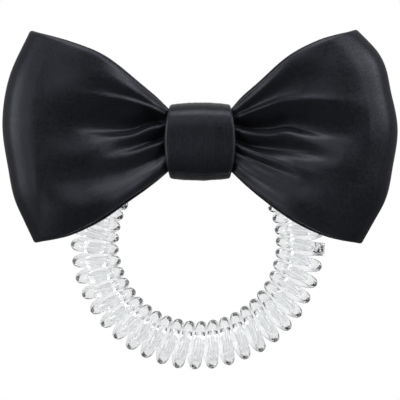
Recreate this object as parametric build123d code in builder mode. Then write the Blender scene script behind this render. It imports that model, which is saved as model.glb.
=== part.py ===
from build123d import *

import os
from math import cos, hypot, pi, radians, sin, sqrt

# A satin bow on a clear spiral hair ring, upright, in millimetres.
# The origin is the centre of the ring's hole. +X is to the right for someone who faces the bow,
# +Z is up, and +Y points away from them, so the bow stands in front of the ring.

# --- spiral hair ring -------------------------------------------------------------------------
RING_R = 19.7  # centre line of the coiled tube
TUBE_R = 4.65  # outside of the coil's turns
WIRE_R = 1.0
TURNS = 45
SEAM_GAP = 0.2  # between the ring's upper and lower halves
WELD_ANGLE = -3.1  # degrees from +X, where the wire's two ends are fused
WELD_R = 1.25
WELD_LENGTH = 2.1
WELD_ROUND = 0.8
WELD_SINK = 0.6  # how deep the weld's centre lies under the outside of the turns

# --- bow: where it sits on the ring -----------------------------------------------------------
BOW_X = 0.5  # the bow sits this far to the right of the ring's centre
BACK_Y = -6.8  # back layer of a loop, well out from the neck
FRONT_Y = -15.6  # front layer of a loop, where it is fullest
SATIN_T = 0.45
STIFFENER_T = 0.55
LAYER_GAP = 0.05  # glue line between two layers of one strip

# --- loops: a strip folded over at the outer end, open at the top and the bottom ---------------
NECK_X = 9.0  # a loop flexes about the vertical line at NECK_X, NECK_Y
NECK_Y = -7.7
NECK_R = 2.0  # half the thickness of the bunched pleats there
PARTING_X = 13.4  # the two layers part here
PARTING_Y = -9.2
PARTING_R = 2.2
LOOP_REACH = {-2.0: 30.6, 6.0: 34.6, 14.0: 36.6, 21.0: 37.55, 28.0: 36.7, 35.0: 34.3, 43.0: 29.6}
LOOP_TOP = [(11.0, 30.2), (18.0, 36.0), (26.0, 39.3), (31.0, 40.6), (40.0, 41.6)]
LOOP_BOTTOM = [(40.0, -0.8), (31.0, 0.0), (24.0, 1.6), (18.5, 4.1), (13.0, 8.1)]
NECK_TOP = 25.9
NECK_BOTTOM = 13.4

# --- knot: waist of the bow and the band round it and the ring's tube --------------------------
KNOT_TOP = 26.6
KNOT_BOTTOM = 12.1
KNOT_FRONT = -11.2
KNOT_BACK = 7.2
KNOT_HALF_X = 6.65  # at mid height
KNOT_END_HALF_X = 5.75  # at the top and the bottom
BAND_SATIN_T = 0.45
BAND_LINING_T = 0.5
BAND_ROUND = 2.8
LAP_T = 0.4  # the band's loose end, lapped over itself at the back
LAP_TOP = 22.6
LAP_BOTTOM = 16.4
STITCHES = 6
STITCH_PITCH = 1.7
STITCH_R = 0.2
STITCH_LENGTH = 1.8

WAIST_FRONT = -9.6
WAIST_MIDDLE = -7.75
WAIST_BACK = -5.95
WAIST_TOP = 25.0
WAIST_BOTTOM = 13.7
WAIST_HALF_X = 5.5
LAP_ROUND = 0.85
PLEATS = 4
PLEAT_FULLNESS = 1.25  # height of one pleat against the pitch from one to the next
THREAD_R = 0.2
THREAD_CORNER = 1.1
THREAD_TURNS = 6
THREAD_PITCH = 0.9

KNOT_Z = (KNOT_TOP + KNOT_BOTTOM) / 2
WAIST_Z = (WAIST_TOP + WAIST_BOTTOM) / 2
WAIST_HEIGHT = WAIST_TOP - WAIST_BOTTOM


def save(piece, name):
    """Label a finished piece and write its STEP file."""
    piece.part.label = name
    export_step(piece.part, f"parts/{name}.step")


# --- hair ring --------------------------------------------------------------------------------

# The coil is held as a plain tube over its turns, with a bore that leaves the wire's own volume.
coil_centre_r = TUBE_R - WIRE_R
wire_length = TURNS * hypot(2 * pi * coil_centre_r, 2 * pi * RING_R / TURNS)
wire_volume = pi * WIRE_R**2 * wire_length
TUBE_BORE_R = sqrt(TUBE_R**2 - wire_volume / (2 * pi**2 * RING_R))


def coil_half(seam_z, kept):
    """Half of the coiled tube, on one side of its level seam."""
    with BuildPart() as half:
        with BuildSketch(Plane.XY):
            with Locations((RING_R, 0)):
                Circle(TUBE_R)
                Circle(TUBE_BORE_R, mode=Mode.SUBTRACT)
        revolve(axis=Axis.Y)
        split(bisect_by=Plane.XY.offset(seam_z), keep=kept)
    return half


def weld_bead():
    """The short fused sleeve where the wire's two ends meet, on the outside of the turns."""
    angle = radians(WELD_ANGLE)
    reach = RING_R + TUBE_R - WELD_SINK
    place = Plane(
        origin=(reach * cos(angle), 0, reach * sin(angle)),
        z_dir=(-sin(angle), 0, cos(angle)),
    )
    with BuildPart(place) as bead:
        Cylinder(WELD_R, WELD_LENGTH)
        fillet(bead.edges().filter_by(GeomType.CIRCLE), WELD_ROUND)
    return bead


# --- bow loops --------------------------------------------------------------------------------


def loop_points(reach, neck_x, neck_y, neck_r):
    """Top view of a right-hand loop's outside, anticlockwise from the tip of its neck."""
    return [
        (neck_x - neck_r, neck_y),
        (neck_x, neck_y - neck_r),
        (14.5, -12.3),
        (19.0, -14.5),
        (reach - 6.5, FRONT_Y),
        (reach - 1.6, FRONT_Y + 2.0),
        (reach, (FRONT_Y + BACK_Y) / 2),
        (reach - 1.6, BACK_Y - 1.7),
        (reach - 6.0, BACK_Y),
        (17.0, BACK_Y + 0.1),
        (neck_x, neck_y + neck_r),
    ]


def inset_points(points, depth):
    """Move each point of an anticlockwise outline inwards, square to its two neighbours."""
    moved = []
    for i, (x, y) in enumerate(points):
        before = points[i - 1]
        after = points[(i + 1) % len(points)]
        run_x, run_y = after[0] - before[0], after[1] - before[1]
        span = hypot(run_x, run_y)
        moved.append((x - depth * run_y / span, y + depth * run_x / span))
    return moved


def loop_form(side, depth, neck=(NECK_X, NECK_Y, NECK_R)):
    """The closed teardrop body of a loop, this deep under the outside of its satin."""
    with BuildPart() as form:
        for level, reach in LOOP_REACH.items():
            outline = inset_points(loop_points(reach, *neck), depth)
            with BuildSketch(Plane.XY.offset(level)):
                with BuildLine():
                    Spline(*[(BOW_X + side * x, y) for x, y in outline], periodic=True)
                make_face()
        loft()
    return form.part


def loop_front_view(side):
    """Face of a loop seen from the front: narrow at the neck, wide at the outer end."""
    top = [(NECK_X, NECK_TOP + 2.6), *LOOP_TOP]
    bottom = [*LOOP_BOTTOM, (NECK_X, NECK_BOTTOM - 2.1)]
    neck_end = NECK_X - NECK_R - 1.0
    with BuildSketch(Plane.XZ) as face:
        with BuildLine():
            upper = Spline(*[(BOW_X + side * x, z) for x, z in [(neck_end, NECK_TOP), *top]])
            lower = Spline(*[(BOW_X + side * x, z) for x, z in [*bottom, (neck_end, NECK_BOTTOM)]])
            Line(upper @ 1, lower @ 0)
            Line(lower @ 1, upper @ 0)
        make_face()
    return face.sketch


def loop_satin(side):
    """The satin of one loop: front layer, fold at the outer end and back layer in one piece."""
    with BuildPart() as satin:
        add(loop_form(side, 0))
        add(loop_form(side, SATIN_T), mode=Mode.SUBTRACT)
        extrude(loop_front_view(side), amount=30, both=True, mode=Mode.INTERSECT)
    return satin


def loop_stiffener(side):
    """The stiff lining fused inside the satin, bunched solid at the neck and open beyond it."""
    outside = SATIN_T + LAYER_GAP
    inside = outside + STIFFENER_T
    with BuildPart() as stiffener:
        add(loop_form(side, outside))
        add(loop_form(side, inside, (PARTING_X, PARTING_Y, PARTING_R)), mode=Mode.SUBTRACT)
        extrude(loop_front_view(side), amount=30, both=True, mode=Mode.INTERSECT)
    return stiffener


# --- knot -------------------------------------------------------------------------------------


def knot_front_view(inset):
    """Face of the knot seen from the front: its two sides bow outwards."""
    top, bottom = KNOT_TOP + 1, KNOT_BOTTOM - 1
    with BuildSketch(Plane.XZ) as face:
        with BuildLine():
            for side in (-1, 1):
                end_x = BOW_X + side * (KNOT_END_HALF_X - inset)
                mid_x = BOW_X + side * (KNOT_HALF_X - inset)
                ThreePointArc((end_x, bottom), (mid_x, KNOT_Z), (end_x, top))
            for z in (top, bottom):
                half = KNOT_END_HALF_X - inset
                Line((BOW_X - half, z), (BOW_X + half, z))
        make_face()
    return face.sketch


def band_layer(outer_inset, thickness):
    """One layer of the band: a rounded loop in side view that rings the waist and the tube."""
    depth = KNOT_BACK - KNOT_FRONT
    height = KNOT_TOP - KNOT_BOTTOM
    inner_inset = outer_inset + thickness
    with BuildPart() as layer:
        with BuildSketch(Plane.YZ):
            with Locations(((KNOT_FRONT + KNOT_BACK) / 2, KNOT_Z)):
                RectangleRounded(
                    depth - 2 * outer_inset, height - 2 * outer_inset, BAND_ROUND - outer_inset
                )
                RectangleRounded(
                    depth - 2 * inner_inset,
                    height - 2 * inner_inset,
                    BAND_ROUND - inner_inset,
                    mode=Mode.SUBTRACT,
                )
        extrude(amount=10, both=True)
        extrude(knot_front_view(outer_inset), amount=30, both=True, mode=Mode.INTERSECT)
    return layer


def band_satin():
    """The band's satin, with its loose end lapped over itself at the back."""
    layer = band_layer(0, BAND_SATIN_T)
    with BuildPart() as satin:
        add(layer.part)
        with Locations((BOW_X, KNOT_BACK + LAP_T / 2, (LAP_TOP + LAP_BOTTOM) / 2)):
            Box(2 * KNOT_END_HALF_X, LAP_T, LAP_TOP - LAP_BOTTOM)
        lap_edges = satin.edges().group_by(Axis.Y)[-1]
        fillet(lap_edges, LAP_T / 2)
    return satin


def band_stitches():
    """Hand stitches that close the lap, in a row along its lower edge."""
    back_y = KNOT_BACK + LAP_T + STITCH_R
    with BuildPart() as stitches:
        for i in range(STITCHES):
            x = BOW_X + (i - (STITCHES - 1) / 2) * STITCH_PITCH
            with Locations((x, back_y, LAP_BOTTOM + STITCH_LENGTH / 2 + 0.5)):
                Cylinder(STITCH_R, STITCH_LENGTH)
        fillet(stitches.edges().filter_by(GeomType.CIRCLE), STITCH_R * 0.6)
    return stitches


def waist_front_pleats():
    """Front half of the bow's waist: the strip drawn together into level pleats."""
    depth = WAIST_MIDDLE - LAYER_GAP - WAIST_FRONT
    middle_y = WAIST_FRONT + depth / 2
    pitch = WAIST_HEIGHT / (PLEATS - 1 + PLEAT_FULLNESS)
    pleat_height = pitch * PLEAT_FULLNESS
    with BuildPart() as pleats:
        with BuildSketch(Plane.YZ.offset(BOW_X)):
            for i in range(PLEATS):
                with Locations((middle_y, WAIST_BOTTOM + pleat_height / 2 + i * pitch)):
                    Ellipse(depth / 2, pleat_height / 2)
        extrude(amount=WAIST_HALF_X, both=True)
    return pleats


def waist_back_lap():
    """Back half of the waist, where the strip's two ends lap over each other."""
    with BuildPart() as lap:
        with BuildSketch(Plane.YZ.offset(BOW_X)):
            with Locations(((WAIST_MIDDLE + WAIST_BACK) / 2, WAIST_Z)):
                RectangleRounded(WAIST_BACK - WAIST_MIDDLE, WAIST_HEIGHT, LAP_ROUND)
        extrude(amount=WAIST_HALF_X, both=True)
    return lap


def waist_thread():
    """Binding thread: separate turns drawn tight round the waist."""
    depth = WAIST_BACK - WAIST_FRONT + 2 * THREAD_R + LAYER_GAP
    height = WAIST_HEIGHT + 2 * THREAD_R + LAYER_GAP
    with BuildPart() as thread:
        for i in range(THREAD_TURNS):
            x = BOW_X + (i - (THREAD_TURNS - 1) / 2) * THREAD_PITCH
            with BuildSketch(Plane.YZ.offset(x), mode=Mode.PRIVATE) as turn:
                with Locations(((WAIST_FRONT + WAIST_BACK) / 2, WAIST_Z)):
                    RectangleRounded(depth, height, THREAD_CORNER)
            path = turn.sketch.face().outer_wire()
            with BuildSketch(Plane(origin=path @ 0, z_dir=path % 0)):
                Circle(THREAD_R)
            sweep(path=path)
    return thread


os.makedirs("parts", exist_ok=True)

save(coil_half(SEAM_GAP / 2, Keep.TOP), "coil_ring_upper")
save(coil_half(-SEAM_GAP / 2, Keep.BOTTOM), "coil_ring_lower")
save(weld_bead(), "weld_bead")

for side, word in ((-1, "left"), (1, "right")):
    save(loop_satin(side), f"{word}_loop_satin")
    save(loop_stiffener(side), f"{word}_loop_stiffener")

save(waist_front_pleats(), "waist_front_pleats")
save(waist_back_lap(), "waist_back_lap")
save(waist_thread(), "waist_thread")
save(band_satin(), "knot_band_satin")
save(band_layer(BAND_SATIN_T + LAYER_GAP, BAND_LINING_T), "knot_band_lining")
save(band_stitches(), "knot_band_stitches")
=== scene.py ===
"""Satin hair bow on a clear spiral hair ring.

The bow is one strip of black satin over a stiff lining, folded into two loops and gathered at its waist.
A folded band of the same satin holds the waist and the coiled ring together, and its end is lapped and
sewn at the back. The ring is one clear elastic wire, wound into a spiral and fused end to end.
Lengths are millimetres in the code and metres in the scene.
"""

import logging
import math
from bisect import bisect_right
from dataclasses import dataclass, field
from enum import IntEnum
from typing import Callable, Sequence

import bmesh
import bpy
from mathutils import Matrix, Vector, noise


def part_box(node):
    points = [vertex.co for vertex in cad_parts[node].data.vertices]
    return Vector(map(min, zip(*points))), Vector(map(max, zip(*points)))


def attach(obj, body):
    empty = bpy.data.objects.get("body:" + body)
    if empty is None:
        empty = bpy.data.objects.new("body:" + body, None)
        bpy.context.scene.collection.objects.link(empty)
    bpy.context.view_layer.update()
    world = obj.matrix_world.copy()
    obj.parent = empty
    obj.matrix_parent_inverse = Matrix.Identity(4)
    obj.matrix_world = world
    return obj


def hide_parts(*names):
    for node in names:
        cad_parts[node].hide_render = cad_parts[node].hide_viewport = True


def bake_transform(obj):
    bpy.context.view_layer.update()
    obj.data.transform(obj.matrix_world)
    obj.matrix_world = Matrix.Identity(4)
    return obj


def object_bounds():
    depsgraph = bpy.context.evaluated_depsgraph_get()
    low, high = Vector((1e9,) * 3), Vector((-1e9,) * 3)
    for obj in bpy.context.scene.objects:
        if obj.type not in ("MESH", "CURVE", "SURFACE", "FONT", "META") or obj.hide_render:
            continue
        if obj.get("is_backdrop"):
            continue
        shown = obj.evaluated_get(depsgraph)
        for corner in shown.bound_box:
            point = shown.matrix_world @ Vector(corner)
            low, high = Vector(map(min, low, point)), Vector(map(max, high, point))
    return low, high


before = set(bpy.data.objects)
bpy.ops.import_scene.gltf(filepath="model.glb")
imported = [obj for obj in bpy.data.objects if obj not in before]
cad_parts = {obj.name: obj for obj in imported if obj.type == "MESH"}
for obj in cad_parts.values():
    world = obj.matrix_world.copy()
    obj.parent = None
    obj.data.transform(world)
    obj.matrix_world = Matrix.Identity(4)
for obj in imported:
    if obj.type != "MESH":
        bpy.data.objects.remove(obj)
CAD_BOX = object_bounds()

LOG = logging.getLogger("hair_bow")
MM = 0.001
# Back face of the band's first layer, in mm. The lap and its stitches lie behind it.
BAND_BACK_Y = 7.2


class Side(IntEnum):
    """The side of the bow that a loop is on, which is also the sign of its x."""

    LEFT = -1
    RIGHT = 1

    @property
    def word(self) -> str:
        """The side's name in lower case."""
        return self.name.lower()


class Profile:
    """A smooth curve through a few (place, value) points, level past its ends."""

    def __init__(self, *points: tuple[float, float]) -> None:
        """Works out the slope at each point.

        Args:
            points: (place, value) pairs in order of place.
        """
        self.places = [place for place, _ in points]
        self.values = [value for _, value in points]
        spans = [after - before for before, after in zip(self.places, self.places[1:])]
        rises = [
            (after - before) / span
            for before, after, span in zip(self.values, self.values[1:], spans)
        ]
        inner = [
            (rises[i] * spans[i + 1] + rises[i + 1] * spans[i]) / (spans[i] + spans[i + 1])
            for i in range(len(spans) - 1)
        ]
        self.slopes = [rises[0], *inner, rises[-1]]

    def at(self, place: float) -> float:
        """Reads the curve.

        Args:
            place: where to read it.

        Returns:
            The value there, or the end's value past an end.
        """
        if place <= self.places[0]:
            return self.values[0]
        if place >= self.places[-1]:
            return self.values[-1]
        i = bisect_right(self.places, place) - 1
        span = self.places[i + 1] - self.places[i]
        t = (place - self.places[i]) / span
        rest = 1 - t
        start = self.values[i] * (1 + 2 * t) + self.slopes[i] * span * t
        end = self.values[i + 1] * (3 - 2 * t) - self.slopes[i + 1] * span * rest
        return rest * rest * start + t * t * end


class Track:
    """A smooth plane curve through a few points, paced by its own length."""

    def __init__(self, *points: tuple[float, float]) -> None:
        """Measures the curve and fits both of its coordinates.

        Args:
            points: the points that it passes through, in order.
        """
        runs = [0.0]
        for before, after in zip(points, points[1:]):
            runs.append(runs[-1] + math.dist(before, after))
        self.length = runs[-1]
        self.first = Profile(*zip(runs, (point[0] for point in points)))
        self.second = Profile(*zip(runs, (point[1] for point in points)))

    def at(self, share: float) -> tuple[float, float]:
        """Point at a share, 0 to 1, of the curve's length."""
        run = share * self.length
        return self.first.at(run), self.second.at(run)


def smooth_step(value: float) -> float:
    """Eases from 0 to 1 as the value goes from 0 to 1."""
    t = min(max(value, 0.0), 1.0)
    return t * t * (3 - 2 * t)


def bent_grid(
    along: int,
    across: int,
    place: Callable[[float, float], Vector],
    cut: tuple[float, float],
    edge_highlight: Callable[[float, float], float],
) -> bmesh.types.BMesh:
    """Makes a fine flat grid and bends it into a piece of cloth.

    Args:
        along: cells along the cloth.
        across: cells across it.
        place: gives the point, in mm, of each share along and across, both from 0 to 1.
        cut: the cloth's flat length and width in mm, which its map is drawn in.
        edge_highlight: gives how close to a folded edge each such point is, from 0 to 1; this places the
            painted edge highlight.

    Returns:
        The bent grid in metres, with its map "cloth" and its attribute "rub", which places the painted edge
        highlight.
    """
    cloth = bmesh.new()
    bmesh.ops.create_grid(cloth, x_segments=along, y_segments=across, size=0.5)
    chart = cloth.loops.layers.uv.new("cloth")
    painted_highlight = cloth.verts.layers.float.new("edge_highlight")
    for face in cloth.faces:
        for corner in face.loops:
            flat = corner.vert.co
            corner[chart].uv = ((flat.x + 0.5) * cut[0], (flat.y + 0.5) * cut[1])
    for vert in cloth.verts:
        u, v = vert.co.x + 0.5, vert.co.y + 0.5
        # Stores where the painted edge highlight goes.
        vert[painted_highlight] = edge_highlight(u, v)
        vert.co = place(u, v) * MM
    return cloth


def as_piece(name: str, shape: bmesh.types.BMesh, material: bpy.types.Material) -> bpy.types.Object:
    """Turns a finished bmesh into a smooth piece of the scene.

    Args:
        name: the piece's name.
        shape: its mesh in metres, which is freed.
        material: its finish.

    Returns:
        The new object, at the origin.
    """
    mesh = bpy.data.meshes.new(name)
    shape.to_mesh(mesh)
    shape.free()
    mesh.shade_smooth()
    mesh.materials.append(material)
    piece = bpy.data.objects.new(name, mesh)
    bpy.context.scene.collection.objects.link(piece)
    return piece


def wire_mesh(
    lines: Sequence[Sequence[Vector]], radius: float, closed: bool, sides: int
) -> bmesh.types.BMesh:
    """Makes round wires or threads along lines of points.

    Args:
        lines: the points of each wire's centre line, in mm.
        radius: the wire's radius in mm.
        closed: whether each line joins its own start.
        sides: how many flat sides stand for the round section.

    Returns:
        One bmesh, in metres, with a tube for each line.
    """
    curve = bpy.data.curves.new("wire_line", "CURVE")
    curve.dimensions = "3D"
    curve.bevel_depth = radius * MM
    curve.bevel_resolution = max(sides // 2 - 2, 0)
    curve.use_fill_caps = not closed
    for line in lines:
        spline = curve.splines.new("POLY")
        spline.points.add(len(line) - 1)
        for point, place in zip(spline.points, line):
            point.co = (*(place * MM), 1.0)
        spline.use_cyclic_u = closed
    carrier = bpy.data.objects.new("wire_line", curve)
    tube = bpy.data.meshes.new_from_object(carrier)
    shape = bmesh.new()
    shape.from_mesh(tube)
    bmesh.ops.remove_doubles(shape, verts=shape.verts, dist=radius * MM * 0.001)
    bmesh.ops.recalc_face_normals(shape, faces=shape.faces)
    bpy.data.objects.remove(carrier)
    bpy.data.curves.remove(curve)
    bpy.data.meshes.remove(tube)
    return shape


def give_thickness(piece: bpy.types.Object, thickness: float) -> None:
    """Gives a sheet its thickness in mm, half on each side."""
    wall = piece.modifiers.new("thickness", "SOLIDIFY")
    wall.thickness = thickness * MM
    wall.offset = 0.0


# Finishes


class Board:
    """Adds and joins the nodes of one material or node group."""

    def __init__(self, tree: bpy.types.NodeTree) -> None:
        """Starts on an empty tree."""
        self.tree = tree
        tree.nodes.clear()

    def add(self, kind: str, values: dict | None = None, **settings: object) -> bpy.types.Node:
        """Adds a node.

        Args:
            kind: its type, without the leading ShaderNode.
            values: what each input socket is set to, or the output socket that feeds it.
            settings: the node's own options.

        Returns:
            The new node.
        """
        node = self.tree.nodes.new("ShaderNode" + kind)
        for option, choice in settings.items():
            setattr(node, option, choice)
        self.fill(node, values or {})
        return node

    def fill(self, node: bpy.types.Node, values: dict) -> None:
        """Sets a node's inputs, or joins them to the sockets that feed them."""
        for key, value in values.items():
            if isinstance(value, bpy.types.NodeSocket):
                self.tree.links.new(value, node.inputs[key])
            else:
                node.inputs[key].default_value = value

    def sum(self, operation: str, *values: object) -> bpy.types.NodeSocket:
        """Adds a Math node and gives its result.

        Args:
            operation: the node's operation.
            values: numbers or sockets, in order.

        Returns:
            The output socket.
        """
        node = self.add("Math", dict(enumerate(values)), operation=operation)
        return node.outputs[0]

    def group(self, effect: bpy.types.NodeTree, values: dict) -> bpy.types.Node:
        """Adds a shared effect with its own values."""
        node = self.tree.nodes.new("ShaderNodeGroup")
        node.node_tree = effect
        self.fill(node, values)
        return node

    def dye(self, share: bpy.types.NodeSocket, *ends: object) -> bpy.types.NodeSocket:
        """Adds a colour mix and gives its result.

        Args:
            share: how much of the second colour there is.
            ends: both colours, each as red, green and blue or as a socket.

        Returns:
            The output socket.
        """
        first, second = (
            end if isinstance(end, bpy.types.NodeSocket) else (*end, 1.0) for end in ends
        )
        node = self.add("Mix", {"Factor": share, "A": first, "B": second}, data_type="RGBA")
        return node.outputs["Result"]

    def spread(
        self,
        value: bpy.types.NodeSocket,
        source: tuple[float, float],
        target: tuple[float, float],
        **settings: object,
    ) -> bpy.types.NodeSocket:
        """Adds a Map Range node and gives its result.

        Args:
            value: what is mapped.
            source: the range that it is read in.
            target: the range that it is mapped to.
            settings: the node's own options.

        Returns:
            The output socket.
        """
        ends = dict(zip(("From Min", "From Max", "To Min", "To Max"), (*source, *target)))
        return self.add("MapRange", {"Value": value, **ends}, **settings).outputs["Result"]

    def straight_view(self) -> bpy.types.NodeSocket:
        """Gives 1 to rays from the camera or through clear material, and 0 to all others."""
        seen = self.add("LightPath")
        return self.sum("MAXIMUM", seen.outputs["Is Camera Ray"], seen.outputs["Is Transmission Ray"])


def new_effect(
    name: str, inputs: dict[str, tuple[str, object]], outputs: Sequence[str]
) -> tuple[bpy.types.NodeTree, Board, bpy.types.Node]:
    """Starts a shared effect as a node group with named sockets.

    Args:
        name: the effect's name.
        inputs: each input's socket type and starting value.
        outputs: the names of its outputs, all of them numbers.

    Returns:
        The group, its board and its Group Input node.
    """
    tree = bpy.data.node_groups.new(name, "ShaderNodeTree")
    board = Board(tree)
    for label, (kind, value) in inputs.items():
        socket = tree.interface.new_socket(label, in_out="INPUT", socket_type=kind)
        if value is not None:
            socket.default_value = value
    for label in outputs:
        tree.interface.new_socket(label, in_out="OUTPUT", socket_type="NodeSocketFloat")
    return tree, board, tree.nodes.new("NodeGroupInput")


def end_effect(board: Board, results: dict[str, bpy.types.NodeSocket]) -> None:
    """Joins an effect's results to its outputs."""
    exit_node = board.tree.nodes.new("NodeGroupOutput")
    for label, result in results.items():
        board.tree.links.new(result, exit_node.inputs[label])


def satin_weave() -> bpy.types.NodeTree:
    """Makes the satin weave: long floats along the strip, each tied down at a step from its neighbour's.

    Returns:
        A group from a cloth map in mm to Height and Sheen, both from 0 to 1.
    """
    tree, board, given = new_effect(
        "satin_weave",
        {
            "Map": ("NodeSocketVector", None),
            "Pitch": ("NodeSocketFloat", 0.12),
            "Slub": ("NodeSocketFloat", 0.5),
        },
        ("Height", "Sheen"),
    )
    place = board.add("SeparateXYZ", {0: given.outputs["Map"]})
    thread = board.sum("DIVIDE", place.outputs["Y"], given.outputs["Pitch"])
    number = board.sum("FLOOR", thread)
    round_top = board.sum("SINE", board.sum("MULTIPLY", board.sum("FRACT", thread), math.pi))
    run = board.sum("DIVIDE", place.outputs["X"], board.sum("MULTIPLY", given.outputs["Pitch"], 5.0))
    tie = board.sum("FRACT", board.sum("ADD", run, board.sum("MULTIPLY", number, 0.4)))
    float_top = board.sum("POWER", board.sum("SINE", board.sum("MULTIPLY", tie, math.pi)), 0.3)
    weave = board.sum("MULTIPLY", round_top, float_top)
    streak = board.add("Mapping", {"Vector": given.outputs["Map"], "Scale": (0.10, 2.2, 1.0)})
    slub = board.add(
        "TexNoise", {"Vector": streak.outputs[0], "Scale": 1.0, "Detail": 3.0, "Roughness": 0.6}
    )
    slubs = board.sum("MULTIPLY", slub.outputs["Fac"], given.outputs["Slub"])
    height = board.sum("ADD", board.sum("MULTIPLY", weave, 0.5), slubs)
    end_effect(board, {"Height": height, "Sheen": slub.outputs["Fac"]})
    return tree


def cloth_mottle() -> bpy.types.NodeTree:
    """Makes the soft clouds and the fine grain that light shows on satin.

    Returns:
        A group from Object coordinates to Cloud and Grain, both from 0 to 1.
    """
    tree, board, given = new_effect(
        "cloth_mottle",
        {
            "Place": ("NodeSocketVector", None),
            "Cloud Size": ("NodeSocketFloat", 9.0),
            "Grain Size": ("NodeSocketFloat", 0.6),
        },
        ("Cloud", "Grain"),
    )
    clouds = board.add(
        "TexNoise",
        {
            "Vector": given.outputs["Place"],
            "Scale": board.sum("DIVIDE", 1000.0, given.outputs["Cloud Size"]),
            "Detail": 3.0,
            "Roughness": 0.55,
        },
    )
    grains = board.add(
        "TexNoise",
        {
            "Vector": given.outputs["Place"],
            "Scale": board.sum("DIVIDE", 1000.0, given.outputs["Grain Size"]),
            "Detail": 2.0,
            "Roughness": 0.7,
        },
    )
    end_effect(board, {"Cloud": clouds.outputs["Fac"], "Grain": grains.outputs["Fac"]})
    return tree


def painted_edge_highlight() -> bpy.types.NodeTree:
    """Makes the painted highlight along folded edges, uneven in patches.

    Returns:
        A group from Object coordinates and the closeness to an edge to Wear, the painted edge highlight's
        strength, from 0 to 1.
    """
    tree, board, given = new_effect(
        "painted_edge_highlight",
        {
            "Place": ("NodeSocketVector", None),
            "Closeness": ("NodeSocketFloat", 0.0),
            "Strength": ("NodeSocketFloat", 1.0),
        },
        ("Highlight",),
    )
    patches = board.add(
        "TexNoise", {"Vector": given.outputs["Place"], "Scale": 420.0, "Detail": 3.0}
    )
    uneven = board.spread(patches.outputs["Fac"], (0.3, 0.65), (0.35, 1.0))
    near = board.sum("POWER", given.outputs["Closeness"], 1.5)
    painted_highlight = board.sum("MULTIPLY", near, uneven)
    end_effect(board, {"Highlight": board.sum("MULTIPLY", painted_highlight, given.outputs["Strength"])})
    return tree


def thread_twist() -> bpy.types.NodeTree:
    """Makes the twisted plies of sewing thread.

    Returns:
        A group from Object coordinates to Height, from 0 to 1.
    """
    tree, board, given = new_effect(
        "thread_twist",
        {"Place": ("NodeSocketVector", None), "Plies": ("NodeSocketFloat", 900.0)},
        ("Height",),
    )
    plies = board.add(
        "TexWave",
        {
            "Vector": given.outputs["Place"],
            "Scale": given.outputs["Plies"],
            "Distortion": 1.2,
            "Detail": 1.0,
        },
        bands_direction="DIAGONAL",
    )
    end_effect(board, {"Height": plies.outputs["Fac"]})
    return tree


@dataclass(frozen=True)
class Effects:
    """The node groups that the finishes share."""

    weave: bpy.types.NodeTree = field(default_factory=satin_weave)
    mottle: bpy.types.NodeTree = field(default_factory=cloth_mottle)
    # The painted highlight along folded edges.
    edge_highlight: bpy.types.NodeTree = field(default_factory=painted_edge_highlight)
    twist: bpy.types.NodeTree = field(default_factory=thread_twist)


def blank_material(name: str) -> tuple[bpy.types.Material, Board]:
    """Starts a node material.

    Args:
        name: the material's name.

    Returns:
        The material and its board.
    """
    material = bpy.data.materials.new(name)
    material.use_nodes = True
    return material, Board(material.node_tree)


def close_material(board: Board, surface: bpy.types.NodeSocket) -> None:
    """Joins a shader to the material's output."""
    board.add("OutputMaterial", {"Surface": surface})


@dataclass(frozen=True)
class SatinFinish:
    """Black satin: a dark ground, long shining floats, soft clouds, and a painted highlight along its folded
    edges.
    """

    name: str = "satin"
    ground: tuple[float, float, float] = (0.0030, 0.0031, 0.0042)
    shine: tuple[float, float, float] = (0.0095, 0.0100, 0.0130)
    # Colour of the painted highlight along the folded edges.
    painted_highlight: tuple[float, float, float] = (0.0500, 0.0520, 0.0620)
    thread_pitch: float = 0.12
    cloud_size: float = 9.0
    grain_size: float = 0.55
    cloud_share: float = 0.55
    grain_share: float = 0.45
    tone_range: tuple[float, float] = (0.34, 0.66)
    roughness: float = 0.38
    smoother: float = 0.07
    rougher: float = 0.09
    weave_relief: float = 0.5
    grain_relief: float = 0.9
    gloss: float = 0.30
    sheen: float = 0.03
    bump: float = 0.30

    def material(self, effects: Effects) -> bpy.types.Material:
        """Builds the finish.

        Args:
            effects: the shared node groups.

        Returns:
            The material.
        """
        material, board = blank_material(self.name)
        place = board.add("TexCoord").outputs["Object"]
        chart = board.add("UVMap", uv_map="cloth").outputs["UV"]
        near = board.add("Attribute", attribute_name="edge_highlight").outputs["Fac"]
        weave = board.group(effects.weave, {"Map": chart, "Pitch": self.thread_pitch, "Slub": 0.6})
        mottle = board.group(
            effects.mottle,
            {"Place": place, "Cloud Size": self.cloud_size, "Grain Size": self.grain_size},
        )
        # Painted highlight along the folded edges, laid on unevenly.
        edge_highlight = board.group(effects.edge_highlight, {"Place": place, "Closeness": near, "Strength": 0.7})
        tone = board.sum(
            "ADD",
            board.sum("MULTIPLY", mottle.outputs["Cloud"], self.cloud_share),
            board.sum("MULTIPLY", mottle.outputs["Grain"], self.grain_share),
        )
        colour = board.dye(board.spread(tone, self.tone_range, (0.0, 1.0)), self.ground, self.shine)
        # Lays the painted edge highlight over the cloth's colour.
        edged = board.dye(edge_highlight.outputs["Highlight"], colour, self.painted_highlight)
        matt = board.spread(
            board.sum("ADD", mottle.outputs["Grain"], weave.outputs["Sheen"]),
            (0.7, 1.3),
            (self.roughness - self.smoother, self.roughness + self.rougher),
        )
        relief = board.sum(
            "ADD",
            board.sum("MULTIPLY", weave.outputs["Height"], self.weave_relief),
            board.sum("MULTIPLY", mottle.outputs["Grain"], self.grain_relief),
        )
        bump = board.add("Bump", {"Height": relief, "Strength": self.bump, "Distance": 0.05 * MM})
        cloth = board.add(
            "BsdfPrincipled",
            {
                "Base Color": edged,
                "Roughness": matt,
                "Normal": bump.outputs["Normal"],
                "Specular IOR Level": self.gloss,
                "Specular Tint": (0.82, 0.86, 1.0, 1.0),
                "Sheen Weight": self.sheen,
                "Sheen Roughness": 0.35,
                "Sheen Tint": (0.62, 0.68, 0.80, 1.0),
            },
        )
        close_material(board, cloth.outputs[0])
        return material


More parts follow.
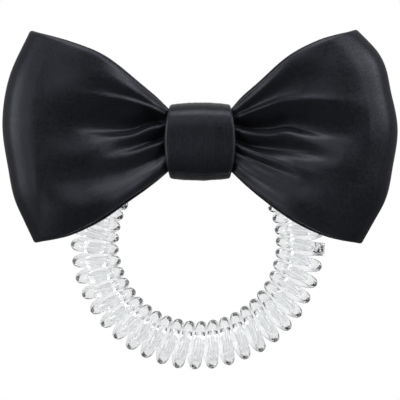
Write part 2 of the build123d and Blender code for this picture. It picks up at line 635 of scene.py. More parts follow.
@dataclass(frozen=True)
class LiningFinish:
    """Stiff fused lining: matt, pressed felt with short fibres."""

    name: str = "lining"
    ground: tuple[float, float, float] = (0.016, 0.016, 0.018)
    fluff: tuple[float, float, float] = (0.034, 0.034, 0.038)

    def material(self, effects: Effects) -> bpy.types.Material:
        """Builds the finish.

        Args:
            effects: the shared node groups.

        Returns:
            The material.
        """
        material, board = blank_material(self.name)
        place = board.add("TexCoord").outputs["Object"]
        mottle = board.group(effects.mottle, {"Place": place, "Cloud Size": 4.0, "Grain Size": 0.3})
        colour = board.dye(mottle.outputs["Grain"], self.ground, self.fluff)
        matt = board.spread(mottle.outputs["Cloud"], (0.0, 1.0), (0.82, 0.98))
        bump = board.add(
            "Bump",
            {"Height": mottle.outputs["Grain"], "Strength": 0.5, "Distance": 0.08 * MM},
        )
        felt = board.add(
            "BsdfPrincipled",
            {
                "Base Color": colour,
                "Roughness": matt,
                "Normal": bump.outputs["Normal"],
                "Specular IOR Level": 0.2,
                "Sheen Weight": 0.15,
            },
        )
        close_material(board, felt.outputs[0])
        return material


@dataclass(frozen=True)
class ThreadFinish:
    """Black polyester sewing thread, twisted from fine plies, with painted shade between the plies and a
    painted highlight on their crowns.
    """

    name: str = "thread"
    # Painted shade in the valleys between the plies, and a painted highlight on the plies' crowns.
    valley: tuple[float, float, float] = (0.008, 0.008, 0.010)
    crown: tuple[float, float, float] = (0.050, 0.051, 0.058)

    def material(self, effects: Effects) -> bpy.types.Material:
        """Builds the finish.

        Args:
            effects: the shared node groups.

        Returns:
            The material.
        """
        material, board = blank_material(self.name)
        place = board.add("TexCoord").outputs["Object"]
        twist = board.group(effects.twist, {"Place": place, "Plies": 900.0})
        # The colour follows the ply height: painted shade low, painted highlight high.
        colour = board.dye(twist.outputs["Height"], self.valley, self.crown)
        gloss = board.spread(twist.outputs["Height"], (0.0, 1.0), (0.6, 0.42))
        bump = board.add(
            "Bump", {"Height": twist.outputs["Height"], "Strength": 0.6, "Distance": 0.06 * MM}
        )
        thread = board.add(
            "BsdfPrincipled",
            {
                "Base Color": colour,
                "Roughness": gloss,
                "Normal": bump.outputs["Normal"],
                "Sheen Weight": 0.2,
            },
        )
        close_material(board, thread.outputs[0])
        return material


@dataclass(frozen=True)
class ClearWireFinish:
    """Clear, very slightly grey elastic: a glassy skin with faint handling haze."""

    name: str = "clear_coil"
    tint: tuple[float, float, float] = (0.90, 0.91, 0.92)
    milky: tuple[float, float, float] = (0.80, 0.81, 0.82)
    refraction: float = 1.49

    def material(self, effects: Effects) -> bpy.types.Material:
        """Builds the finish.

        Args:
            effects: the shared node groups.

        Returns:
            The material.
        """
        material, board = blank_material(self.name)
        place = board.add("TexCoord").outputs["Object"]
        mottle = board.group(effects.mottle, {"Place": place, "Cloud Size": 6.0, "Grain Size": 0.8})
        colour = board.dye(mottle.outputs["Cloud"], self.tint, self.milky)
        haze = board.spread(mottle.outputs["Grain"], (0.35, 0.7), (0.05, 0.14))
        bump = board.add(
            "Bump",
            {"Height": mottle.outputs["Cloud"], "Strength": 0.12, "Distance": 0.2 * MM},
        )
        wire = board.add(
            "BsdfPrincipled",
            {
                "Base Color": colour,
                "Roughness": haze,
                "Normal": bump.outputs["Normal"],
                "IOR": self.refraction,
                "Transmission Weight": 1.0,
            },
        )
        close_material(board, wire.outputs[0])
        return material


@dataclass(frozen=True)
class Wardrobe:
    """Every finish of the object, built once."""

    satin: bpy.types.Material
    lining: bpy.types.Material
    thread: bpy.types.Material
    clear: bpy.types.Material

    @classmethod
    def stocked(cls) -> "Wardrobe":
        """Builds the shared effects and every finish."""
        effects = Effects()
        return cls(
            SatinFinish().material(effects),
            LiningFinish().material(effects),
            ThreadFinish().material(effects),
            ClearWireFinish().material(effects),
        )


# The bow's loops


@dataclass(frozen=True)
class GatherFold:
    """A ridge or a hollow that runs out from the knot across a loop.

    Attributes:
        line: height of the fold's line at each distance out from the bow's middle.
        lift: how far it stands out of the cloth there; a hollow's is negative.
        half_width: half its width there.
        crisp: whether it is a sharp crease and not a soft swell.
        under: how wide its lower half is, for each unit of the upper half.
    """

    line: Profile
    lift: Profile
    half_width: Profile
    crisp: bool = False
    under: Profile = Profile((0, 1.0), (1, 1.0))

    def rise(self, out: float, up: float) -> float:
        """Reads how far the fold lifts the cloth.

        Args:
            out: distance out from the bow's middle.
            up: height.

        Returns:
            The lift in mm.
        """
        lift = self.lift.at(out)
        if not lift:
            return 0.0
        off = (up - self.line.at(out)) / self.half_width.at(out)
        if off < 0:
            off /= self.under.at(out)
        if self.crisp:
            return lift * math.exp(-1.4 * (math.sqrt(off * off + 0.06) - 0.245))
        return lift * math.exp(-off * off)


@dataclass(frozen=True)
class LoopOutline:
    """The outline of one loop, seen from the front, in mm out from the bow's middle and up.

    Attributes:
        top: the top edge's height at each distance out.
        bottom: the bottom edge's height at each distance out.
        outer: the outer fold's distance out at each share of the loop's height.
    """

    top: Profile
    bottom: Profile
    outer: Profile


@dataclass
class BowLoop:
    """One loop of the bow: its satin with turned hems, and the stiff lining inside."""

    side: Side
    outline: LoopOutline
    front_folds: Sequence[GatherFold]
    back_folds: Sequence[GatherFold]
    middle: float
    neck: float = 5.9
    back_y: float = -7.0
    edge_sink: float = 0.12
    edge_step: float = 0.55
    turn: float = 0.42
    hem: float = 3.4
    satin_thickness: float = 0.30
    lining_thickness: float = 0.30
    lining_inset: float = 0.45
    lining_margin: float = 1.2
    lining_share: float = 0.78
    front_blend: float = 4.0
    low_step_share: float = 0.7
    grip_at_knot: float = 0.35
    grip_run: float = 2.4
    ripple: float = 0.15
    hem_level_limit: float = 0.3
    # Place across the turned edge, as a share of its cells, and spread in cells, of the painted edge
    # highlight.
    highlight_place: float = 0.62
    highlight_spread: float = 2.2
    flex_start: float = 6.5
    flex_end: float = 14.0
    cells_along: int = 190
    body_cells: int = 96
    turn_cells: int = 6
    hem_cells: int = 4
    plan: Track = field(
        default_factory=lambda: Track(
            (0.0, -9.0),
            (3.0, -10.0),
            (9.5, -13.0),
            (15.5, -15.1),
            (21.0, -15.5),
            (26.3, -14.4),
            (29.8, -12.5),
            (31.0, -10.5),
            (29.6, -8.6),
            (25.5, -7.4),
            (17.0, -7.0),
            (9.0, -7.0),
            (3.0, -7.0),
            (0.0, -7.0),
        )
    )

    @property
    def full_out(self) -> float:
        """The plan's farthest distance out."""
        return max(self.plan.first.values)

    def edges(self, share: float) -> tuple[float, float, float, float]:
        """Finds where the strip's edges are.

        Args:
            share: 0 to 1 along the strip, from the knot round the fold and back.

        Returns:
            The share of the way out, the depth, and the bottom and top edges' heights.
        """
        out, depth = self.plan.at(share)
        outward = out / self.full_out
        front = min(max((self.back_y - depth) / self.front_blend, 0.0), 1.0)
        step = self.edge_step * math.sin(math.pi * min(outward, 1.0)) * front
        low_reach, high_reach = self.outline.outer.at(0.0), self.outline.outer.at(1.0)
        low = self.outline.bottom.at(self.neck + (low_reach - self.neck) * outward)
        high = self.outline.top.at(self.neck + (high_reach - self.neck) * outward)
        return outward, depth, low + step * self.low_step_share, high - step

    def surface(self, share: float, level: float) -> Vector:
        """Places a point of the satin's middle.

        Args:
            share: 0 to 1 along the strip.
            level: 0 to 1 from its bottom edge to its top edge.

        Returns:
            The point as (out, depth, up) in mm.
        """
        outward, depth, low, high = self.edges(share)
        reach = self.outline.outer.at(level)
        out = self.neck + (reach - self.neck) * outward
        up = low + (high - low) * level
        off_centre = 2 * level - 1
        flatter = 1 - self.edge_sink * off_centre * off_centre * outward
        depth = self.back_y + (depth - self.back_y) * flatter
        loose = smooth_step((out - self.neck) / self.grip_run)
        grip = self.grip_at_knot + (1 - self.grip_at_knot) * loose
        on_front = share < 0.5
        folds = self.front_folds if on_front else self.back_folds
        rise = sum(fold.rise(out, up) for fold in folds) * grip
        wave = Vector((out * 0.09, up * 0.22, self.side * 5.0 + on_front))
        ripple = self.ripple * noise.noise(wave)
        if on_front:
            away = smooth_step((0.46 - share) / 0.12)
            return Vector((out, depth - rise - ripple * away, up))
        away = smooth_step((share - 0.58) / 0.12)
        return Vector((out, depth + rise - abs(ripple) * away, up))

    def local_frame(self, share: float, level: float) -> tuple[Vector, Vector, Vector]:
        """Finds a point of the satin and the directions there.

        Args:
            share: 0 to 1 along the strip.
            level: 0 to 1 across it.

        Returns:
            The point, the direction into the loop and the direction up the cloth.
        """
        step = 0.002
        here = self.surface(share, level)
        ahead, behind = min(share + step, 1.0), max(share - step, 0.0)
        above, below = min(level + step, 1.0), max(level - step, 0.0)
        along = self.surface(ahead, level) - self.surface(behind, level)
        up = self.surface(share, above) - self.surface(share, below)
        return here, up.cross(along).normalized(), up.normalized()

    @property
    def cells_across(self) -> int:
        """Cells from one hem's cut edge to the other's."""
        return self.body_cells + 2 * (self.turn_cells + self.hem_cells)

    def satin_point(self, share: float, across: float) -> Vector:
        """Places a point of the satin, hems included.

        Args:
            share: 0 to 1 along the strip.
            across: 0 to 1 from one cut edge to the other.

        Returns:
            The point in mm, in the object's frame.
        """
        cell = across * self.cells_across
        edge_cells = self.turn_cells + self.hem_cells
        upper = cell > self.cells_across / 2
        from_cut = self.cells_across - cell if upper else cell
        _, _, low, high = self.edges(share)
        edge_level = self.turn / (high - low)
        if from_cut >= edge_cells:
            level = edge_level + (cell - edge_cells) / self.body_cells * (1 - 2 * edge_level)
            return self.to_object(self.surface(share, level))
        if from_cut >= self.hem_cells:
            level = 1 - edge_level if upper else edge_level
            here, inward, up = self.local_frame(share, level)
            angle = math.pi * (edge_cells - from_cut) / self.turn_cells
            outward = up if upper else -up
            offset = inward * (1 - math.cos(angle)) + outward * math.sin(angle)
            return self.to_object(here + offset * self.turn)
        back = self.hem * (self.hem_cells - from_cut) / self.hem_cells / (high - low)
        level = edge_level + min(back, self.hem_level_limit)
        here, inward, _ = self.local_frame(share, 1 - level if upper else level)
        return self.to_object(here + inward * 2 * self.turn)

    def satin_edge_highlight(self, _share: float, across: float) -> float:
        """Closeness of a satin point to a turned edge, from 0 to 1, which places the painted edge highlight.
        """
        cell = across * self.cells_across
        from_cut = min(cell, self.cells_across - cell)
        middle = self.hem_cells + self.turn_cells * self.highlight_place
        return math.exp(-(((from_cut - middle) / self.highlight_spread) ** 2))

    def lining_point(self, share: float, across: float) -> Vector:
        """Places a point of the lining, just inside the satin."""
        _, _, low, high = self.edges(share)
        margin = self.lining_margin / (high - low)
        here, inward, _ = self.local_frame(share, margin + across * (1 - 2 * margin))
        return self.to_object(here + inward * self.lining_inset)

    def to_object(self, point: Vector) -> Vector:
        """Turns (out, depth, up) into the object's x, y, z."""
        return Vector((self.middle + self.side * point.x, point.y, point.z))

    def strip_length(self) -> float:
        """Length of the loop's strip along its middle, in mm."""
        places = [self.surface(i / 60, 0.5) for i in range(61)]
        return sum((after - before).length for before, after in zip(places, places[1:]))

    def build(self, wardrobe: Wardrobe) -> list[bpy.types.Object]:
        """Args:
            wardrobe: the finishes.

        Returns:
            Both pieces.
        """
        length = self.strip_length()
        _, _, low, high = self.edges(0.5)
        width = high - low + 2 * self.hem
        satin = bent_grid(
            self.cells_along, self.cells_across, self.satin_point, (length, width), self.satin_edge_highlight
        )
        lining = bent_grid(
            self.cells_along // 2,
            self.body_cells // 3,
            self.lining_point,
            (length, width - 2 * self.hem),
            lambda _share, _across: 0.0,
        )
        made = []
        for shape, kind, thickness, material, cut in (
            (satin, "satin", self.satin_thickness, wardrobe.satin, width),
            (lining, "stiffener", self.lining_thickness, wardrobe.lining, width - 2 * self.hem),
        ):
            if self.side is Side.LEFT:
                bmesh.ops.reverse_faces(shape, faces=shape.faces)
            piece = as_piece(f"{self.side.word}_loop_{kind}_cloth", shape, material)
            give_thickness(piece, thickness)
            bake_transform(piece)
            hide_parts(f"{self.side.word}_loop_{kind}")
            made.append(piece)
        return made


def left_loop(middle: float) -> BowLoop:
    """Sets out the left loop.

    Args:
        middle: x of the bow's middle in mm.

    Returns:
        The loop, not yet built.
    """
    outline = LoopOutline(
        top=Profile((5.9, 25.3), (8.0, 27.4), (11.4, 30.3), (18.0, 35.5), (25.0, 38.4), (32.2, 40.4)),
        bottom=Profile((5.9, 13.9), (8.5, 11.7), (13.3, 8.2), (19.0, 4.2), (24.5, 1.6), (31.4, 0.0)),
        outer=Profile(
            (0.0, 31.3), (0.10, 33.2), (0.20, 35.0), (0.35, 36.3), (0.57, 37.4), (0.78, 36.1), (1.0, 32.1)
        ),
    )
    front = (
        GatherFold(
            Profile((6, 25.0), (8, 26.0), (11.4, 28.2), (15.2, 30.2), (22, 33.5)),
            Profile((6, 0.9), (12, 1.1), (18, 0.5), (24, 0.0)),
            Profile((6, 0.8), (12, 1.6), (22, 3.4)),
        ),
        GatherFold(
            Profile((6, 24.1), (9.5, 25.8), (13.3, 27.0), (17.1, 27.7), (24, 28.6)),
            Profile((6, 0.8), (9, 1.0), (14, 0.8), (20, 0.3), (25, 0.0)),
            Profile((6, 0.35), (13, 0.5), (24, 1.0)),
            crisp=True,
            under=Profile((6, 3.0), (30, 3.0)),
        ),
        GatherFold(
            Profile((6, 23.1), (9.5, 22.7), (12.4, 21.7), (16.7, 21.4), (22.4, 21.8), (28, 22.6)),
            Profile((6, -1.5), (12, -2.2), (19, -1.9), (24, -1.0), (31, 0.0)),
            Profile((6, 0.8), (12, 2.8), (20, 3.6), (28, 3.6)),
            under=Profile((6, 0.24), (14, 0.3), (20, 0.7), (30, 1.6)),
        ),
        GatherFold(
            Profile((6, 22.4), (9.5, 21.7), (12.4, 20.5), (16.7, 20.2), (22.4, 20.6), (26, 21.6)),
            Profile((6, 0.7), (10, 0.8), (17, 0.5), (21, 0.2), (25, 0.0)),
            Profile((6, 0.3), (13, 0.4), (24, 0.7)),
            crisp=True,
            under=Profile((6, 4.0), (30, 4.0)),
        ),
        GatherFold(
            Profile((6, 20.2), (9, 19.3), (13, 18.0), (18, 17.0)),
            Profile((6, -1.5), (10, -1.3), (14, -0.6), (19, 0.0)),
            Profile((6, 1.0), (10, 1.4), (16, 2.2)),
            under=Profile((6, 0.4), (30, 0.4)),
        ),
        GatherFold(
            Profile((6, 19.3), (9.5, 18.2), (12.4, 17.2), (18, 15.8)),
            Profile((6, 0.7), (9, 0.7), (14, 0.4), (20, 0.0)),
            Profile((6, 0.4), (12, 0.8), (18, 1.6)),
            crisp=True,
            under=Profile((6, 2.5), (30, 2.5)),
        ),
        GatherFold(
            Profile((6, 17.0), (10, 15.2), (16, 12.9), (24, 12.2), (30, 12.2)),
            Profile((6, -0.9), (12, -0.6), (20, -0.6), (26, -0.4), (31, 0.0)),
            Profile((6, 0.9), (14, 2.4), (26, 4.0)),
            under=Profile((6, 0.7), (30, 0.7)),
        ),
        GatherFold(
            Profile((6, 15.4), (10, 12.6), (16, 8.8), (24, 6.4)),
            Profile((6, 0.5), (12, 0.6), (22, 0.7), (30, 0.0)),
            Profile((6, 0.7), (14, 1.9), (24, 4.0)),
        ),
    )
    return BowLoop(Side.LEFT, outline, front, back_gathers(), middle)


def right_loop(middle: float) -> BowLoop:
    """Sets out the right loop.

    Args:
        middle: x of the bow's middle in mm.

    Returns:
        The loop, not yet built.
    """
    outline = LoopOutline(
        top=Profile((5.9, 25.3), (7.5, 27.2), (10.8, 30.2), (17.0, 35.7), (22.5, 38.6), (29.6, 40.7)),
        bottom=Profile((5.9, 13.8), (8.5, 11.3), (12.2, 8.2), (18.1, 4.0), (24.0, 1.3), (30.6, -0.2)),
        outer=Profile(
            *((0.0, 30.5), (0.1, 32.8), (0.2, 35.0), (0.36, 36.5)),
            *((0.54, 37.4), (0.69, 36.3), (0.89, 33.7), (1.0, 29.5)),
        ),
    )
    front = (
        GatherFold(
            Profile((6, 25.0), (8, 26.4), (12, 29.5), (17, 33.2), (22, 35.5)),
            Profile((6, 0.8), (12, 1.0), (18, 0.5), (24, 0.0)),
            Profile((6, 0.8), (12, 1.7), (22, 3.4)),
        ),
        GatherFold(
            Profile((6, 23.5), (9.5, 24.9), (12.4, 26.0), (15.6, 27.0), (19, 27.3), (24, 27.2), (31, 26.3)),
            Profile((6, 0.8), (9, 1.0), (18, 0.8), (25, 0.4), (31, 0.0)),
            Profile((6, 0.35), (14, 0.5), (28, 1.0)),
            crisp=True,
            under=Profile((6, 3.0), (30, 3.0)),
        ),
        GatherFold(
            Profile((6, 22.4), (9.9, 21.7), (13.7, 21.7), (16.5, 22.2), (19, 21.9), (22.8, 21.2), (29, 20.6)),
            Profile((6, -1.5), (12, -2.1), (20, -2.3), (26, -1.4), (32, 0.0)),
            Profile((6, 0.8), (12, 2.2), (20, 3.4), (29, 3.6)),
            under=Profile((6, 0.24), (16, 0.3), (22, 0.6), (31, 1.2)),
        ),
        GatherFold(
            Profile((6, 21.7), (9.9, 20.7), (13.7, 20.6), (16.5, 21.1), (19, 20.8), (22.8, 20.0), (28, 19.0)),
            Profile((6, 0.7), (10, 0.8), (18, 0.55), (24, 0.25), (30, 0.0)),
            Profile((6, 0.3), (14, 0.4), (26, 0.6)),
            crisp=True,
            under=Profile((6, 4.0), (30, 4.0)),
        ),
        GatherFold(
            Profile((6, 19.8), (10, 18.4), (16, 17.6), (22, 16.8), (27, 16.2)),
            Profile((6, -1.5), (12, -1.4), (20, -1.1), (27, 0.0)),
            Profile((6, 0.9), (12, 1.6), (24, 2.4)),
            under=Profile((6, 0.5), (30, 0.5)),
        ),
        GatherFold(
            Profile((6, 18.9), (9.9, 17.3), (14.3, 15.8), (18.1, 14.4), (24, 12.6)),
            Profile((6, 0.7), (10, 0.7), (18, 0.5), (25, 0.0)),
            Profile((6, 0.4), (14, 0.8), (24, 1.8)),
            crisp=True,
            under=Profile((6, 2.5), (30, 2.5)),
        ),
        GatherFold(
            Profile((6, 17.7), (9.9, 16.0), (14.3, 14.1), (18, 12.6)),
            Profile((6, -0.5), (10, -0.5), (15, -0.3), (20, 0.0)),
            Profile((6, 0.4), (14, 0.8)),
        ),
        GatherFold(
            Profile((6, 15.4), (12, 11.2), (18, 8.2), (24, 6.4)),
            Profile((6, 0.5), (12, 0.6), (22, 0.5), (29, 0.0)),
            Profile((6, 0.8), (14, 1.9), (24, 4.0)),
        ),
    )
    return BowLoop(Side.RIGHT, outline, front, back_gathers(), middle)


def back_gathers() -> tuple[GatherFold, ...]:
    """Sets out the shallow hollows of a loop's back, which all sink into the loop."""
    return tuple(
        GatherFold(
            Profile((6, start), (14, middle), (26, end)),
            Profile((6, -depth), (10, -depth), (18, -depth * 0.5), (27, 0.0)),
            Profile((6, 0.7), (14, 1.4), (26, 3.2)),
        )
        for start, middle, end, depth in (
            (23.4, 27.6, 31.6, 0.9),
            (20.6, 21.8, 23.0, 1.1),
            (17.9, 15.6, 13.6, 1.0),
            (15.6, 10.6, 6.6, 0.6),
        )
    )


# The knot


@dataclass
class KnotBand:
    """The band round the waist and the ring: a folded strip of satin, lapped and sewn at the back."""

    middle: float
    front_y: float
    back_y: float
    low_z: float
    high_z: float
    half_width: float = 6.65
    end_half_width: float = 5.75
    wall: float = 0.30
    fold_gap: float = 0.32
    squareness: float = 4.6
    crown: float = 0.40
    lap_share: float = 0.135
    lap_rise: float = 0.98
    lap_begins: float = 0.80
    lap_run: float = 0.09
    tuck: float = 0.1
    tuck_run: float = 0.06
    crease_rise: float = 0.10
    fine_crease_rise: float = 0.05
    end_round_run: float = 0.009
    cells_along: int = 250
    outer_cells: int = 44
    turn_cells: int = 8
    inner_cells: int = 14
    stitches: int = 6
    stitch_radius: float = 0.17

    @property
    def depth_radius(self) -> float:
        """Half the band's depth to the middle of its thickness."""
        return (self.back_y - self.front_y) / 2 - self.thickness / 2

    @property
    def height_radius(self) -> float:
        """Half the band's height to the middle of its thickness."""
        return (self.high_z - self.low_z) / 2 - self.thickness / 2 - self.crown * 0.5

    @property
    def thickness(self) -> float:
        """The folded band's full thickness."""
        return self.fold_gap + 2 * self.wall

    def path(self, share: float) -> Vector:
        """Point of the band's middle at a share of one round, from the back down and forwards."""
        angle = math.tau * share
        side, height = math.cos(angle), -math.sin(angle)
        stretch = (
            abs(side / self.depth_radius) ** self.squareness
            + abs(height / self.height_radius) ** self.squareness
        ) ** (-1 / self.squareness)
        centre = Vector((0.0, (self.back_y + self.front_y) / 2, (self.high_z + self.low_z) / 2))
        return centre + Vector((0.0, side, height)) * stretch

    def point(self, along: float, around: float) -> Vector:
        """Places a point of the band's cloth.

        Args:
            along: 0 to 1 from the inner end to the lapped end.
            around: 0 to 1 round the flattened tube, starting on its outer face.

        Returns:
            The point in mm.
        """
        share = along * (1 + self.lap_share) - self.lap_share / 2
        here = self.path(share)
        forward = (self.path(share + 0.004) - self.path(share - 0.004)).normalized()
        outward = forward.cross(Vector((1.0, 0.0, 0.0))).normalized()
        if outward.dot(here - self.path(share + 0.5)) < 0:
            outward.negate()
        mid_z = (self.high_z + self.low_z) / 2
        lean = min(abs(here.z - mid_z) / self.height_radius, 1.0)
        width = self.end_half_width + (self.half_width - self.end_half_width) * (1 - lean**2)
        cross, thick, facing = self.section(around, width)
        across = min(abs(cross) / width, 1.0)
        crown = self.crown * (1 - across**2)
        lap = self.lap_rise * smooth_step((along - self.lap_begins) / self.lap_run)
        tucked = -self.tuck * smooth_step((self.tuck_run - along) / self.tuck_run)
        run = along * 50.0
        crease = self.crease_rise * noise.noise(Vector((cross * 0.55, run * 0.13, 3.0)))
        crease += self.fine_crease_rise * noise.noise(Vector((cross * 1.7, run * 0.30, 9.0)))
        from_end = min((1 - along) / self.end_round_run, 1.0)
        end_round = math.sqrt(max(1 - (1 - from_end) ** 2, 0.03))
        outset = thick * end_round + crown + lap + tucked + (crease if facing > 0 else 0.0)
        return here + Vector((self.middle + cross, 0.0, 0.0)) + outward * outset

    def section(self, around: float, width: float) -> tuple[float, float, float]:
        """Places a point round the band's flattened section.

        Args:
            around: 0 to 1 round the section.
            width: half the band's width there.

        Returns:
            How far across and how far outwards it is, in mm, and how much it
            faces outwards, from 1 on the outer face to 0 on the inner one.
        """
        radius = (self.fold_gap + self.wall) / 2
        flat = width - radius - self.wall / 2
        puff = 1.25
        cell = around * self.cells_around
        if cell <= self.outer_cells:
            return flat * (2 * cell / self.outer_cells - 1), radius, 1.0
        cell -= self.outer_cells
        if cell <= self.turn_cells:
            angle = math.pi * cell / self.turn_cells
            beside = flat + radius * math.sin(angle) * puff
            return beside, radius * math.cos(angle), 1.0 - cell / self.turn_cells
        cell -= self.turn_cells
        if cell <= self.inner_cells:
            return flat * (1 - 2 * cell / self.inner_cells), -radius, 0.0
        cell -= self.inner_cells
        angle = math.pi * (1 - cell / self.turn_cells)
        beside = -flat - radius * math.sin(angle) * puff
        return beside, radius * math.cos(angle), cell / self.turn_cells

    @property
    def cells_around(self) -> int:
        """Cells round the flattened section."""
        return self.outer_cells + self.inner_cells + 2 * self.turn_cells

    def edge_highlight(self, _along: float, around: float) -> float:
        """Closeness of a point to the band's folded side edges, from 0 to 1, which places the painted edge
        highlight.
        """
        cell = around * self.cells_around
        first = self.outer_cells + self.turn_cells * 0.3
        second = self.cells_around - self.turn_cells * 0.3
        return math.exp(-((min(abs(cell - first), abs(cell - second)) / 2.0) ** 2))

    def build(self, wardrobe: Wardrobe) -> list[bpy.types.Object]:
        """Makes the folded band and the stitches that close it.

        Args:
            wardrobe: the finishes.

        Returns:
            Both pieces.
        """
        length = 0.0
        marks = [self.path(i / 120) for i in range(121)]
        for before, after in zip(marks, marks[1:]):
            length += (after - before).length
        length *= 1 + self.lap_share
        width = 4 * self.half_width
        shape = bent_grid(self.cells_along, self.cells_around, self.point, (length, width), self.edge_highlight)
        bmesh.ops.remove_doubles(shape, verts=shape.verts, dist=0.002 * MM)
        rims = [edge for edge in shape.edges if edge.is_boundary]
        bmesh.ops.holes_fill(shape, edges=rims, sides=0)
        bmesh.ops.recalc_face_normals(shape, faces=shape.faces)
        band = as_piece("knot_band_cloth", shape, wardrobe.satin)
        give_thickness(band, self.wall)
        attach(band, "knot")
        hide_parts("knot_band_satin", "knot_band_lining")
        return [band, self.sew(wardrobe)]

    def sew(self, wardrobe: Wardrobe) -> bpy.types.Object:
        """Sews the lapped end down with short slanting stitches.

        Args:
            wardrobe: the finishes.

        Returns:
            The stitches, as one piece.
        """
        end = self.point(0.9955, 0.5 * self.outer_cells / self.cells_around)
        pitch = 2 * self.end_half_width * 0.82 / (self.stitches - 1)
        lines = []
        for i in range(self.stitches):
            wander = 0.16 * math.sin(i * 2.4 + 0.7)
            x = self.middle + (i - (self.stitches - 1) / 2) * pitch + wander
            slant = 0.42 + 0.10 * math.sin(i * 1.9)
            over = Vector((x - slant, end.y + 0.10, end.z + 0.85 + wander))
            under = Vector((x + slant, end.y - self.lap_rise + 0.10, end.z - 0.75 + wander * 0.6))
            bend = Vector((x, end.y + 0.30, end.z + 0.05))
            line = []
            for step in range(13):
                t = step / 12
                point = over * (1 - t) ** 2 + bend * 2 * t * (1 - t) + under * t**2
                dive = 0.55 * (2 * t - 1) ** 6
                line.append(point - Vector((0.0, dive, 0.0)))
            lines.append(line)
        stitches = as_piece(
            "knot_band_hand_stitches", wire_mesh(lines, self.stitch_radius, False, 10), wardrobe.thread
        )
        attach(stitches, "knot")
        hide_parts("knot_band_stitches")
        return stitches


# The spiral ring


@dataclass
class SpiralRing:
    """One clear elastic wire wound into a spiral, whose ends are fused on the ring's right side."""

    ring_radius: float
    tube_radius: float
    wire_radius: float = 1.0
    turns: int = 45
    points_per_turn: int = 30
    sides: int = 14
    start_angle: float = math.radians(-3.1)
    weld_length: float = 2.5
    weld_swell: float = 1.12
    stretch_from: float = 0.7
    stretch_to: float = -0.8

    @property
    def winding_radius(self) -> float:
        """Radius that the wire's centre line winds at."""
        return self.tube_radius - self.wire_radius

    def wire_point(self, share: float) -> Vector:
        """Point of the wire's centre line at a share of the whole ring, from the weld on."""
        around = self.start_angle + math.tau * share
        winding = math.tau * self.turns * share
        uneven = 1 + 0.010 * math.sin(7 * around + 1.0) + 0.008 * math.sin(17 * around)
        drift = 0.10 * math.sin(5 * around) / self.turns
        reach = self.ring_radius + self.winding_radius * uneven * math.cos(winding)
        return Vector(
            (
                reach * math.cos(around + drift),
                -self.winding_radius * math.sin(winding),
                reach * math.sin(around + drift),
            )
        )

    def build(self, wardrobe: Wardrobe) -> list[bpy.types.Object]:
        """Makes the coil and its weld.

        Args:
            wardrobe: the finishes.

        Returns:
            Both pieces.
        """
        steps = self.turns * self.points_per_turn
        line = [self.wire_point(i / steps) for i in range(steps)]
        coil = as_piece(
            "clear_spiral_wire", wire_mesh([line], self.wire_radius, True, self.sides), wardrobe.clear
        )
        self.stretch_with(coil, "coil_ring_upper", "coil_ring_lower")
        weld = as_piece("clear_weld_sleeve", self.weld_shape(), wardrobe.clear)
        self.stretch_with(weld, "weld_bead")
        return [coil, weld]

    def weld_shape(self) -> bmesh.types.BMesh:
        """Makes the fused lap: the wire's two ends side by side, melted into one bead."""
        centre = self.wire_point(0.0)
        heading = (self.wire_point(0.004) - self.wire_point(-0.004)).normalized()
        around = Vector((-math.sin(self.start_angle), 0.0, math.cos(self.start_angle)))
        line = []
        for step in range(9):
            t = step / 4 - 1
            line.append(centre + around * t * self.weld_length / 2 + heading * 0.05 * t)
        bead = wire_mesh([line], self.wire_radius * self.weld_swell, False, self.sides)
        bmesh.ops.subdivide_edges(bead, edges=bead.edges, cuts=1, use_grid_fill=True)
        axes = {f"use_axis_{axis}": True for axis in "xyz"}
        bmesh.ops.smooth_vert(bead, verts=bead.verts, factor=0.5, **axes)
        return bead

    def stretch_with(self, piece: bpy.types.Object, *nodes: str) -> None:
        """Fixes a piece in place and hides the nodes that it stands for.

        Args:
            piece: the coil or its weld.
            nodes: the nodes that it stands for.
        """
        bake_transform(piece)
        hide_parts(*nodes)


# The studio


@dataclass
class Softbox:
    """A soft area lamp.

    Attributes:
        name: its name.
        place: where it stands, in metres.
        size: its width and height in metres.
        power: its power in watts.
    """

    name: str
    place: tuple[float, float, float]
    size: tuple[float, float]
    power: float

    def light(self, target: Vector) -> None:
        """Adds the lamp and turns it to the object."""
        data = bpy.data.lights.new(self.name, "AREA")
        data.shape = "RECTANGLE"
        data.size, data.size_y = self.size
        data.energy = self.power
        lamp = bpy.data.objects.new(self.name, data)
        lamp.location = self.place
        lamp.rotation_mode = "QUATERNION"
        lamp.rotation_quaternion = (target - lamp.location).to_track_quat("-Z", "Y")
        bpy.context.scene.collection.objects.link(lamp)


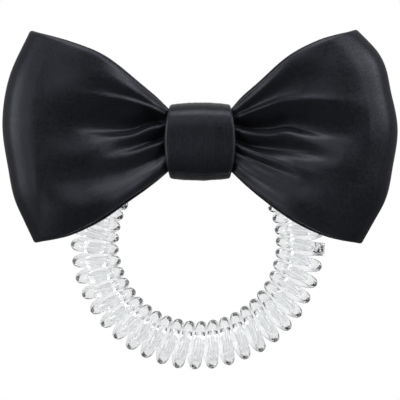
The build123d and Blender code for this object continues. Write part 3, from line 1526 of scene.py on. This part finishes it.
@dataclass
class Studio:
    """A pale floor, soft lamps, a plain bright room and a long lens in front of the object."""

    target: Vector = field(default_factory=lambda: Vector((0.0005, -0.010, 0.00817)))
    camera_distance: float = 1.0
    field_width: float = 0.076
    sensor_width: float = 36.0
    floor_z: float = -0.060
    floor_radius: float = 0.36
    front_strength: float = 0.04
    back_strength: float = 0.60
    softboxes: Sequence[Softbox] = (
        Softbox("softbox_left", (-0.92, -0.42, 0.10), (0.60, 0.60), 6.0),
        Softbox("softbox_right", (0.85, -0.46, 0.45), (0.60, 0.60), 7.0),
        Softbox("softbox_top", (0.00, -0.42, 0.95), (0.80, 0.50), 8.0),
        Softbox("softbox_front", (-0.20, -1.30, 0.60), (0.90, 0.60), 3.5),
    )

    def build(self) -> None:
        """Sets up the camera, the lamps, the room and the floor."""
        self.place_camera()
        for softbox in self.softboxes:
            softbox.light(self.target)
        self.light_room()
        self.lay_floor()
        bpy.context.scene.view_settings.view_transform = "Standard"

    def place_camera(self) -> None:
        """Adds the camera, level with the object's middle."""
        data = bpy.data.cameras.new("camera")
        data.sensor_width = self.sensor_width
        data.lens = self.sensor_width * self.camera_distance / self.field_width
        data.clip_start, data.clip_end = 0.05, 20.0
        camera = bpy.data.objects.new("camera", data)
        camera.location = self.target - Vector((0.0, self.camera_distance, 0.0))
        camera.rotation_euler = (math.radians(90), 0.0, 0.0)
        bpy.context.scene.collection.objects.link(camera)
        bpy.context.scene.camera = camera

    def light_room(self) -> None:
        """Makes the room: white to look at or through, with a pale back wall and a dim front."""
        world = bpy.data.worlds.new("studio_room")
        world.use_nodes = True
        bpy.context.scene.world = world
        board = Board(world.node_tree)
        direct = board.straight_view()
        backdrop = board.add("Background", {"Color": (1.0, 1.0, 1.0, 1.0), "Strength": 1.0})
        heading = board.add("SeparateXYZ", {0: board.add("TexCoord").outputs["Generated"]})
        wall = board.spread(
            heading.outputs["Y"],
            (-0.3, 0.5),
            (self.front_strength, self.back_strength),
            interpolation_type="SMOOTHSTEP",
        )
        room = board.add("Background", {"Color": (1.0, 1.0, 1.0, 1.0), "Strength": wall})
        mixed = board.add(
            "MixShader", {0: direct, 1: room.outputs[0], 2: backdrop.outputs[0]}
        )
        board.add("OutputWorld", {"Surface": mixed.outputs[0]})

    def lay_floor(self) -> None:
        """Lays a pale round floor below the hanging ring."""
        floor = bmesh.new()
        bmesh.ops.create_circle(floor, cap_ends=True, segments=96, radius=self.floor_radius)
        bmesh.ops.translate(floor, verts=floor.verts, vec=(0.0, 0.0, self.floor_z))
        material, board = blank_material("studio_floor")
        place = board.add("TexCoord").outputs["Object"]
        cloud = board.add("TexNoise", {"Vector": place, "Scale": 6.0, "Detail": 2.0})
        paint = board.dye(cloud.outputs["Fac"], (0.86, 0.86, 0.86), (0.90, 0.90, 0.90))
        pale = board.add("BsdfDiffuse", {"Color": paint})
        dim = board.add("BsdfDiffuse", {"Color": (0.16, 0.16, 0.16, 1.0)})
        direct = board.straight_view()
        mixed = board.add("MixShader", {0: direct, 1: dim.outputs[0], 2: pale.outputs[0]})
        close_material(board, mixed.outputs[0])
        as_piece("studio_floor", floor, material)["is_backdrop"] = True


def dress_waist(wardrobe: Wardrobe) -> list[bpy.types.Object]:
    """Gives the gathered waist and its thread their finishes.

    Args:
        wardrobe: the finishes.

    Returns:
        The dressed pieces.
    """
    dressed = []
    for node, material in (
        ("waist_front_pleats", wardrobe.lining),
        ("waist_back_lap", wardrobe.lining),
        ("waist_thread", wardrobe.thread),
    ):
        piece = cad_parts[node]
        piece.data.materials.clear()
        piece.data.materials.append(material)
        dressed.append(piece)
    return dressed


def main() -> None:
    """Builds the object and its studio."""
    logging.basicConfig(level=logging.INFO, format="%(name)s: %(message)s")
    wardrobe = Wardrobe.stocked()
    band_low, band_high = (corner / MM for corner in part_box("knot_band_satin"))
    coil_low, coil_high = (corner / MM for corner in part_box("coil_ring_upper"))
    middle = (band_low.x + band_high.x) / 2
    tube_radius = (coil_high.y - coil_low.y) / 2
    band = KnotBand(middle, band_low.y, BAND_BACK_Y, band_low.z, band_high.z)
    ring = SpiralRing(coil_high.z - tube_radius, tube_radius)
    made = [
        *left_loop(middle).build(wardrobe),
        *right_loop(middle).build(wardrobe),
        *band.build(wardrobe),
        *dress_waist(wardrobe),
        *ring.build(wardrobe),
    ]
    for piece in made:
        LOG.info("%s: %d faces, %s", piece.name, len(piece.data.polygons), piece.active_material.name)
    Studio().build()
    boxes = {"cad": CAD_BOX, "visual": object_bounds()}
    {name: [list(corner) for corner in box] for name, box in boxes.items()}


if __name__ == "__main__":
    main()
